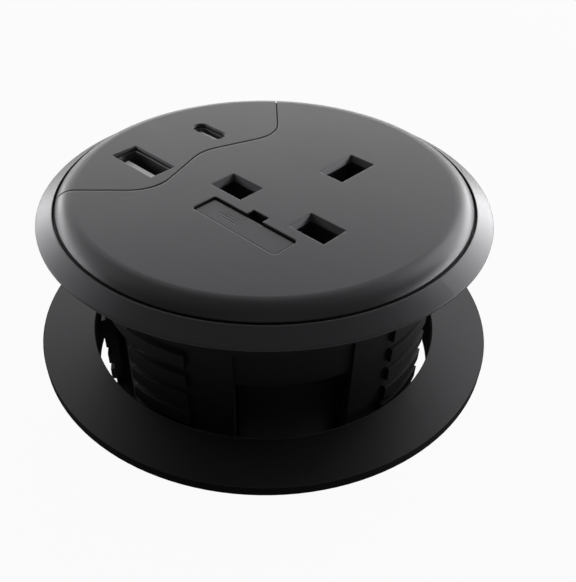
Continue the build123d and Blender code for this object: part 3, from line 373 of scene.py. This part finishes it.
def moulded(name, tone, grain, rough, scale=SPARK_SCALE, edge=EDGE_RADIUS, gloss=0.5):
    """Spark-textured plastic with faint flow marks and handling smears."""
    recipe = Recipe(name)
    place = recipe.place()
    x, y, z = recipe.split(place)
    fine = recipe.noise(place, Grain(scale, *SPARK_DETAIL))
    broad = recipe.noise(place, FLOW_MARKS)
    stretched = recipe.join(x * SMEAR_STRETCH[0], y, z * SMEAR_STRETCH[1])
    smear = recipe.step(recipe.noise(stretched, SMEARS), *SMEARED)
    colour = wandering(recipe, broad, tone, FLOW_SPREAD)
    colour = recipe.blend(smear * SMEAR_SHARE, colour, shade(tone * SMEAR_TONE))
    roughness = rough + (broad - 0.5) * FLOW_ROUGHNESS + (fine - 0.5) * SPARK_ROUGHNESS
    roughness = roughness - smear * SMEAR_POLISH
    normal = recipe.bump(fine, grain, under=recipe.rounded(edge))
    return recipe.surface(recipe.plastic(colour, roughness, normal, gloss))


def fuse_mark(recipe, x, y, z):
    """Mask of a box with a line through it, on the drawer's top."""
    across = abs(x - MARK_MIDDLE[0])
    along = abs(y - MARK_MIDDLE[1])
    outline = abs(recipe.most(across - MARK_HALF[0], along - MARK_HALF[1]))
    box = 1.0 - recipe.step(outline, *MARK_LINE)
    line = (1.0 - recipe.step(along, *MARK_LINE)) * (1.0 - recipe.step(across, *MARK_END))
    return recipe.most(box, line) * recipe.step(z, *MARK_TOP)


def drawer_finish(name, tone, rough):
    """The drawer's cap: the face's plastic with a generic fuse mark sunk in it."""
    recipe = Recipe(name)
    place = recipe.place()
    mark = fuse_mark(recipe, *recipe.split(place))
    fine = recipe.noise(place, Grain(SPARK_SCALE, *SPARK_DETAIL))
    broad = recipe.noise(place, FLOW_MARKS)
    colour = wandering(recipe, broad, tone, FLOW_SPREAD)
    colour = recipe.blend(mark, colour, shade(tone * MARK_TONE))
    normal = recipe.bump(fine, SPARK_DEPTH, under=recipe.rounded(EDGE_RADIUS))
    normal = recipe.bump(1.0 - mark, MARK_DEPTH, strength=0.8, under=normal)
    roughness = rough + (fine - 0.5) * SPARK_ROUGHNESS + mark * MARK_ROUGHNESS
    return recipe.surface(recipe.plastic(colour, roughness, normal))


def turned(name, tone, rough, radii, gloss):
    """Plastic ring with the faint circular lines of its mould, and a dull rim and bore."""
    rim_radius, bore_radius = radii
    recipe = Recipe(name)
    place = recipe.place()
    x, y, z = recipe.split(place)
    radius = recipe.math("SQRT", x * x + y * y)
    lines = recipe.noise(recipe.join(radius * RING_STRETCH, z * RING_STRETCH, 0.0), RING_LINES)
    fine = recipe.noise(place, RING_GRAIN)
    broad = recipe.noise(place, RING_FLOW)
    scuff = recipe.step(recipe.noise(place, RING_MARKS), *SCUFFED)
    colour = wandering(recipe, broad, tone, RING_SPREAD)
    colour = recipe.blend(scuff * SCUFF_SHARE, colour, shade(tone * SCUFF_TONE))
    outside = recipe.step(radius, rim_radius - DULL_EDGE[1], rim_radius - DULL_EDGE[0])
    inside = 1.0 - recipe.step(radius, bore_radius + DULL_EDGE[0], bore_radius + DULL_EDGE[1])
    roughness = rough + (lines - 0.5) * RING_LINE_ROUGHNESS + (broad - 0.5) * FLOW_ROUGHNESS
    roughness = roughness - scuff * SCUFF_POLISH + recipe.most(outside, inside) * DULL_ROUGHNESS
    roughness = recipe.least(roughness, 1.0)
    normal = recipe.bump(lines, depth=0.008, strength=0.8, under=recipe.rounded(radius=0.3))
    normal = recipe.bump(fine, depth=0.006, strength=0.8, under=normal)
    satin = recipe.plastic(colour, roughness, normal, gloss)
    cut = recipe.principled(colour, roughness, normal, Specular_IOR_Level=0.0)
    return recipe.surface(recipe.mixed(outside * CUT_SHARE, satin, cut))


def metal(name, tint, rough, stretch=(1.0, 1.0, 12.0)):
    """Pressed or drawn metal with fine lines along it and a little tarnish."""
    recipe = Recipe(name)
    place = recipe.place()
    x, y, z = recipe.split(place)
    lines = recipe.noise(recipe.join(x * stretch[0], y * stretch[1], z * stretch[2]), DRAWN_LINES)
    patches = recipe.step(recipe.noise(place, TARNISH), *TARNISHED)
    clean, dark = greys(1.0, TARNISH_SHADE, tint)
    colour = recipe.blend(patches, clean, dark)
    normal = recipe.bump(lines, depth=0.01, strength=0.7)
    roughness = rough + (lines - 0.5) * DRAWN_ROUGHNESS + patches * TARNISH_ROUGHNESS
    return recipe.surface(recipe.principled(colour, roughness, normal, Metallic=1.0))


def board_finish(name):
    """Solder mask over copper tracks, with pads."""
    recipe = Recipe(name)
    place = recipe.place()
    x, y, z = recipe.split(place)
    lane = x * LANES_PER_METRE + recipe.noise(place, LANE_NOISE) * LANE_BEND
    tracks = recipe.step(abs(recipe.math("FRACT", lane) - 0.5), *TRACK_EDGE)
    pads = 1.0 - recipe.step(recipe.cells(place, PAD_SCALE), *PAD_EDGE)
    colour = recipe.blend(pads, recipe.blend(tracks, *SOLDER_MASK), PAD)
    normal = recipe.bump(recipe.most(tracks, pads), depth=0.03, strength=0.8)
    return recipe.surface(recipe.principled(colour, BOARD_ROUGHNESS + pads * PAD_ROUGHNESS, normal))


def wrapped(name, colours, bands_per_metre, depth, rough):
    """Tape, wire turns or sleeve: bands round an upright piece, darker in the grooves between them as
    painted shade.
    """
    recipe = Recipe(name)
    place = recipe.place()
    x, y, z = recipe.split(place)
    bands = abs(recipe.math("FRACT", z * bands_per_metre) - 0.5) * 2.0
    broad = recipe.noise(place, WRAP_FLOW)
    # Painted shade: the colour is darker in the grooves between bands, and also wanders with the flow
    # noise.
    colour = recipe.blend(bands * GROOVE_SHADE_SHARE + broad * (1.0 - GROOVE_SHADE_SHARE), *colours)
    normal = recipe.bump(bands, depth, strength=0.8)
    return recipe.surface(recipe.principled(colour, rough + broad * WRAP_ROUGHNESS, normal))


def plain_moulded(name, colours, scale, rough, depth=0.02, **fixed):
    """Moulded or cast body whose colour wanders a little between two tones."""
    recipe = Recipe(name)
    place = recipe.place()
    broad = recipe.noise(place, Grain(scale, *PLAIN_FLOW))
    fine = recipe.noise(place, Grain(scale * PLAIN_FINENESS))
    normal = recipe.bump(fine, depth, strength=0.8)
    colour = recipe.blend(broad, *colours)
    roughness = rough + (broad - 0.5) * PLAIN_ROUGHNESS
    return recipe.surface(recipe.principled(colour, roughness, normal, **fixed))


def earth_sleeve(name):
    """Green insulation with a yellow stripe that winds along it."""
    recipe = Recipe(name)
    place = recipe.place()
    x, y, z = recipe.split(place)
    wave = recipe.math("SINE", (x - y) * STRIPE_ROUND + z * STRIPE_ALONG)
    stripe = recipe.step(wave, *STRIPE_EDGE)
    normal = recipe.bump(recipe.noise(place, SLEEVE_GRAIN), depth=0.02, strength=0.6)
    colour = recipe.blend(stripe, *GREEN_YELLOW)
    roughness = SLEEVE_ROUGHNESS + stripe * STRIPE_ROUGHNESS
    return recipe.surface(recipe.principled(colour, roughness, normal))


def paint(material, *nodes):
    """Gives CAD nodes a finish."""
    for name in nodes:
        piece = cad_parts[name]
        piece.data.materials.clear()
        piece.data.materials.append(material)


def add_piece(name, mesh, body, material):
    """A new visible piece that rides on a CAD body."""
    piece = bpy.data.objects.new(name, mesh)
    bpy.context.scene.collection.objects.link(piece)
    mesh.materials.append(material)
    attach(piece, body)
    return piece


def solid(name, points, faces):
    """A mesh from corner points and faces."""
    mesh = bpy.data.meshes.new(name)
    mesh.from_pydata([tuple(point) for point in points], [], faces)
    mesh.validate()
    return mesh


def walls(start, count):
    """The faces between a ring of corners and the ring that follows it."""
    after = [(j + 1) % count for j in range(count)]
    return [(start + j, start + k, start + count + k, start + count + j) for j, k in enumerate(after)]


def spring_path(centre, start_y, end_y, radius, turns):
    """Points along a spring's wire and their outward directions; the turn at each end is closed."""
    pitch = SPRING_WIRE_RADIUS * CLOSED_PITCH
    free = end_y - start_y - 2 * SPRING_WIRE_RADIUS - 2 * pitch
    path = []
    for i in range(STEPS_PER_TURN * turns + 1):
        turn = i / STEPS_PER_TURN
        opened = min(max(turn - 1.0, 0.0), turns - 2.0) / (turns - 2.0)
        closed = min(turn, 1.0) + max(turn - turns + 1.0, 0.0)
        along = start_y + SPRING_WIRE_RADIUS + opened * free + closed * pitch
        angle = 2.0 * math.pi * turn
        out = Vector((math.cos(angle), 0.0, math.sin(angle)))
        path.append((Vector((centre[0], along, centre[1])) + out * radius, out))
    return path


def wire_mesh(name, path, radius):
    """Round wire along a path that winds about the Y direction."""
    across = Vector((0.0, 1.0, 0.0))
    points = []
    for middle, out in path:
        for j in range(WIRE_SIDES):
            side = 2.0 * math.pi * j / WIRE_SIDES
            points.append(middle + (out * math.cos(side) + across * math.sin(side)) * radius)
    last = len(points) - WIRE_SIDES
    faces = []
    for start in range(0, last, WIRE_SIDES):
        faces += walls(start, WIRE_SIDES)
    faces.append(tuple(reversed(range(WIRE_SIDES))))
    faces.append(tuple(range(last, len(points))))
    mesh = solid(name, points, faces)
    for face in mesh.polygons:
        face.use_smooth = True
    return mesh


def tongue_tip(name, low, high, reach):
    """The thinned tip of a port's tongue: it carries on the tongue and narrows to its nose."""
    levels = ((high.z - TIP_INSET, 0.0), (high.z + reach - TIP_NOSE, 0.0), (high.z + reach, TIP_NOSE))
    points = []
    for z, narrow in levels:
        west, east = low.x + TIP_INSET + narrow, high.x - TIP_INSET - narrow
        south, north = low.y + TIP_INSET + narrow / 2, high.y - TIP_INSET - narrow / 2
        points += [(west, south, z), (east, south, z), (east, north, z), (west, north, z)]
    corners = len(points) // len(levels)
    faces = [(3, 2, 1, 0), (8, 9, 10, 11)]
    for level in range(len(levels) - 1):
        faces += walls(level * corners, corners)
    return solid(name, points, faces)


def return_spring(material):
    """The shutter's return spring."""
    low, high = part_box("shutter_spring")
    centre = ((low.x + high.x) / 2, (low.z + high.z) / 2)
    radius = (high.x - low.x) / 2 - SPRING_WIRE_RADIUS
    path = spring_path(centre, low.y, high.y, radius, SPRING_TURNS)
    wire = wire_mesh("return_spring", path, SPRING_WIRE_RADIUS)
    spring = add_piece("return_spring", wire, "module", material)
    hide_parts("shutter_spring")
    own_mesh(spring)


class FaceSettings(bpy.types.PropertyGroup):
    """Finish of the parts that show above the desk."""

    tone: bpy.props.FloatProperty(
        name="Face tone", description="Grey value of the moulded face", default=0.014, min=0.0, max=1.0
    )
    roughness: bpy.props.FloatProperty(
        name="Face roughness", description="Roughness of the textured face", default=0.37, min=0.0, max=1.0
    )
    grain: bpy.props.FloatProperty(
        name="Grain depth", description="Depth of the spark texture in millimetres", default=0.012, min=0.0
    )
    flange_roughness: bpy.props.FloatProperty(
        name="Flange roughness", description="Roughness of the sloped flange",
        default=0.34, min=0.0, max=1.0,
    )


class DrumSettings(bpy.types.PropertyGroup):
    """Finish of the parts below the desk."""

    tone: bpy.props.FloatProperty(
        name="Drum tone", description="Grey value of the drum", default=0.005, min=0.0, max=1.0
    )
    clamp_tone: bpy.props.FloatProperty(
        name="Clamp tone", description="Grey value of the clamp plate and nut",
        default=0.006, min=0.0, max=1.0,
    )
    clamp_roughness: bpy.props.FloatProperty(
        name="Clamp roughness", description="Roughness of the clamp plate", default=0.4, min=0.0, max=1.0
    )


class StudioSettings(bpy.types.PropertyGroup):
    """Camera and light."""

    camera_place: bpy.props.FloatVectorProperty(
        name="Camera", description="Where the camera stands",
        default=(0.08968, -0.09106, 0.07629), subtype="XYZ",
    )
    camera_pitch: bpy.props.FloatProperty(
        name="Pitch", description="How far the camera looks down",
        default=math.radians(40.56), subtype="ANGLE",
    )
    camera_turn: bpy.props.FloatProperty(
        name="Turn", description="Turn of the camera about the upright axis",
        default=math.radians(45.2), subtype="ANGLE",
    )
    lens: bpy.props.FloatProperty(
        name="Lens", description="Focal length in millimetres", default=42.13, subtype="DISTANCE_CAMERA"
    )
    surround: bpy.props.FloatProperty(
        name="Surround", description="Strength of the even light from all round", default=0.12, min=0.0
    )


class POWERMODULE_OT_face(bpy.types.Operator):
    """Face plate, charger side of the face and flange"""

    bl_idname = "powermodule.face"
    bl_label = "Face and Flange"

    def execute(self, context):
        look = context.scene.power_face
        paint(moulded("face_texture", look.tone, look.grain, look.roughness), "face_plate", "usb_insert")
        grain = look.grain * 0.6
        flange = moulded("flange_satin", look.tone, grain, look.flange_roughness, scale=6000.0, gloss=0.55)
        paint(flange, "bezel_ring")
        return {"FINISHED"}


class POWERMODULE_OT_drum(bpy.types.Operator):
    """Drum, base cover, inlet and their screws"""

    bl_idname = "powermodule.drum"
    bl_label = "Drum and Base"

    def execute(self, context):
        tone = context.scene.power_drum.tone
        matt = moulded("drum_matt", tone, grain=0.01, rough=0.5, scale=3800.0, edge=0.15, gloss=0.18)
        paint(matt, "body_shell", "base_cover")
        paint(moulded("inlet_matt", tone * 0.9, grain=0.008, rough=0.45, scale=4200.0), "mains_inlet")
        paint(metal("zinc_screw", ZINC, rough=0.34), "base_screws", "block_screws")
        paint(metal("plated_pin", PLATING, rough=0.22), "inlet_pins")
        return {"FINISHED"}


class POWERMODULE_OT_clamp(bpy.types.Operator):
    """Clamp plate and ring nut"""

    bl_idname = "powermodule.clamp"
    bl_label = "Clamp"

    def execute(self, context):
        look = context.scene.power_drum
        tone, rough = look.clamp_tone, look.clamp_roughness
        paint(turned("clamp_satin", tone, rough, PLATE_RADII, gloss=0.44), "clamp_plate")
        paint(turned("nut_satin", tone * 1.1, rough + 0.06, NUT_RADII, gloss=0.3), "clamp_nut")
        return {"FINISHED"}


class POWERMODULE_OT_socket(bpy.types.Operator):
    """Socket block, shutter, spring and contacts"""

    bl_idname = "powermodule.socket"
    bl_label = "Socket"

    def execute(self, context):
        moulding = plain_moulded("socket_moulding", greys(0.012, 0.022), scale=120.0, rough=0.5)
        paint(moulding, "socket_deck", "socket_block")
        paint(plain_moulded("shutter_slick", greys(0.012, 0.02), scale=160.0, rough=0.34), "shutter")
        return_spring(metal("spring_wire", SPRING_STEEL, rough=0.25))
        brass = metal("contact_brass", BRASS, rough=0.28)
        paint(brass, "live_contact", "neutral_contact", "earth_contact", "fuse_clips")
        return {"FINISHED"}


class POWERMODULE_OT_fuse(bpy.types.Operator):
    """Fuse drawer and fuse"""

    bl_idname = "powermodule.fuse"
    bl_label = "Fuse Drawer"

    def execute(self, context):
        look = context.scene.power_face
        paint(drawer_finish("drawer_texture", look.tone, look.roughness), "fuse_carrier")
        clear = {"depth": 0.004, "Transmission_Weight": 0.9}
        paint(plain_moulded("fuse_glass", GLASS, scale=90.0, rough=0.12, **clear), "fuse_tube")
        paint(metal("fuse_cap", CAP_METAL, rough=0.2, stretch=(12.0, 1.0, 1.0)), "fuse_caps")
        return {"FINISHED"}


class POWERMODULE_OT_ports(bpy.types.Operator):
    """Both charger ports"""

    bl_idname = "powermodule.ports"
    bl_label = "Charger Ports"

    def execute(self, context):
        paint(metal("port_steel", PORT_STEEL, rough=0.3), "usb_a_shell", "usb_c_shell")
        pale = plain_moulded("port_tongue", greys(0.4, 0.46, WHITE), scale=300.0, rough=0.3)
        for name, reach in TONGUE_REACH.items():
            paint(pale, name)
            tip = tongue_tip(name + "_tip", *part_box(name), reach)
            add_piece(name + "_tip", tip, "module", pale)
        paint(metal("port_gold", GOLD, rough=0.2), "usb_a_contacts", "usb_c_contacts")
        return {"FINISHED"}


class POWERMODULE_OT_charger(bpy.types.Operator):
    """Charger boards, their parts and the wires"""

    bl_idname = "powermodule.charger"
    bl_label = "Charger and Wiring"

    def execute(self, context):
        paint(board_finish("board_mask"), "port_board", "charger_board")
        paint(plain_moulded("nylon", greys(0.62, 0.74), scale=90.0, rough=0.45), "board_spacers")
        ferrite = plain_moulded("ferrite", greys(0.035, 0.065), scale=800.0, rough=0.62, depth=0.05)
        paint(ferrite, "transformer_core")
        tape = wrapped("winding_tape", TAPE, bands_per_metre=900.0, depth=0.05, rough=0.3)
        paint(tape, "transformer_winding")
        sleeve = wrapped("can_sleeve", CAN_SLEEVE, bands_per_metre=160.0, depth=0.01, rough=0.3)
        paint(sleeve, "smoothing_capacitors")
        paint(plain_moulded("film_box", FILM_BOX, scale=240.0, rough=0.35), "film_capacitor")
        paint(wrapped("choke_turns", COPPER, bands_per_metre=2600.0, depth=0.2, rough=0.28), "choke")
        paint(plain_moulded("chip_mould", greys(0.015, 0.03), scale=900.0, rough=0.5), "controller_chips")
        barrier = plain_moulded("barrier_sheet", greys(0.42, 0.52), scale=300.0, rough=0.6, depth=0.04)
        paint(barrier, "insulation_barrier")
        paint(plain_moulded("brown_sleeve", BROWN, scale=200.0, rough=0.4), "live_wire")
        paint(plain_moulded("blue_sleeve", BLUE, scale=200.0, rough=0.4), "neutral_wire")
        paint(earth_sleeve("earth_sleeve"), "earth_wire")
        return {"FINISHED"}


def softbox(lamp):
    """An area lamp of a given radiance that faces the object's middle."""
    turn = math.radians(BEHIND_ANGLE - lamp.angle)
    place = Vector((lamp.distance * math.cos(turn), lamp.distance * math.sin(turn), lamp.height))
    light = bpy.data.lights.new(lamp.name, "AREA")
    light.shape = "RECTANGLE"
    light.size = lamp.width
    light.size_y = lamp.tall
    light.energy = lamp.glow * math.pi * lamp.width * lamp.tall
    holder = bpy.data.objects.new(lamp.name, light)
    holder.location = place
    holder.rotation_euler = (Vector(MIDDLE) - place).to_track_quat("-Z", "Y").to_euler()
    holder.visible_camera = False
    bpy.context.scene.collection.objects.link(holder)


def white_floor():
    """Floor that looks white to the camera and in reflections, and keeps a soft shadow."""
    mesh = bpy.data.meshes.new("floor")
    shape = bmesh.new()
    bmesh.ops.create_circle(shape, cap_ends=True, segments=FLOOR_SEGMENTS, radius=FLOOR_RADIUS)
    shape.to_mesh(mesh)
    shape.free()
    floor = bpy.data.objects.new("floor", mesh)
    floor.location = (0.0, 0.0, CAD_LOW.z)
    bpy.context.scene.collection.objects.link(floor)
    recipe = Recipe("white_floor")
    camera, glossy, through = recipe.rays("Camera", "Glossy", "Transmission")
    seen = recipe.most(camera * BACKDROP_SHARE, recipe.most(glossy * FLOOR_GLINT, through))
    matt = recipe.out(recipe.node("ShaderNodeBsdfDiffuse", None, {"Color": shade(FLOOR_TONE, WHITE)}))
    bright = {"Color": shade(1.0, WHITE), "Strength": 1.0}
    glow = recipe.out(recipe.node("ShaderNodeEmission", None, bright))
    mesh.materials.append(recipe.surface(recipe.mixed(seen, matt, glow)))


def white_surround(strength):
    """Even light from all round, which the camera sees as white."""
    recipe = Recipe("white_surround", "worlds")
    camera, through = recipe.rays("Camera", "Transmission")
    shaders = []
    for power in (strength, 1.0):
        inputs = {"Color": shade(1.0, WHITE), "Strength": power}
        shaders.append(recipe.out(recipe.node("ShaderNodeBackground", None, inputs)))
    seen = recipe.most(camera, through) * BACKDROP_SHARE
    return recipe.surface(recipe.mixed(seen, *shaders), "ShaderNodeOutputWorld")


class POWERMODULE_OT_stage(bpy.types.Operator):
    """Camera, pale floor and soft studio light"""

    bl_idname = "powermodule.stage"
    bl_label = "Stage"

    def execute(self, context):
        scene = context.scene
        look = scene.power_studio
        camera = bpy.data.cameras.new("camera")
        camera.lens = look.lens
        camera.shift_x, camera.shift_y = CAMERA_SHIFT
        camera.clip_start = CAMERA_NEAR
        holder = bpy.data.objects.new("camera", camera)
        holder.location = look.camera_place
        holder.rotation_euler = (math.pi / 2 - look.camera_pitch, 0.0, look.camera_turn)
        scene.collection.objects.link(holder)
        scene.camera = holder
        scene.world = white_surround(look.surround)
        scene.view_settings.view_transform = "Standard"
        for lamp in LAMPS:
            softbox(lamp)
        white_floor()
        return {"FINISHED"}


STEPS = (
    POWERMODULE_OT_stage,
    POWERMODULE_OT_face,
    POWERMODULE_OT_drum,
    POWERMODULE_OT_clamp,
    POWERMODULE_OT_socket,
    POWERMODULE_OT_fuse,
    POWERMODULE_OT_ports,
    POWERMODULE_OT_charger,
)


class POWERMODULE_PT_panel(bpy.types.Panel):
    """Lists the steps and their settings"""

    bl_idname = "POWERMODULE_PT_panel"
    bl_label = "Power Module"
    bl_space_type = "VIEW_3D"
    bl_region_type = "UI"
    bl_category = "Power Module"

    def draw(self, context):
        for group in GROUPS:
            settings = getattr(context.scene, group)
            for name in settings.__annotations__:
                self.layout.prop(settings, name)
        for step in STEPS:
            self.layout.operator(step.bl_idname)


GROUPS = {"power_face": FaceSettings, "power_drum": DrumSettings, "power_studio": StudioSettings}


def register():
    for name, group in GROUPS.items():
        bpy.utils.register_class(group)
        setattr(bpy.types.Scene, name, bpy.props.PointerProperty(type=group))
    for step in STEPS:
        bpy.utils.register_class(step)
    bpy.utils.register_class(POWERMODULE_PT_panel)


def unregister():
    bpy.utils.unregister_class(POWERMODULE_PT_panel)
    for step in reversed(STEPS):
        bpy.utils.unregister_class(step)
    for name, group in GROUPS.items():
        delattr(bpy.types.Scene, name)
        bpy.utils.unregister_class(group)


def main():
    register()
    for step in STEPS:
        group, name = step.bl_idname.split(".")
        getattr(getattr(bpy.ops, group), name)()


if __name__ == "__main__":
    main()
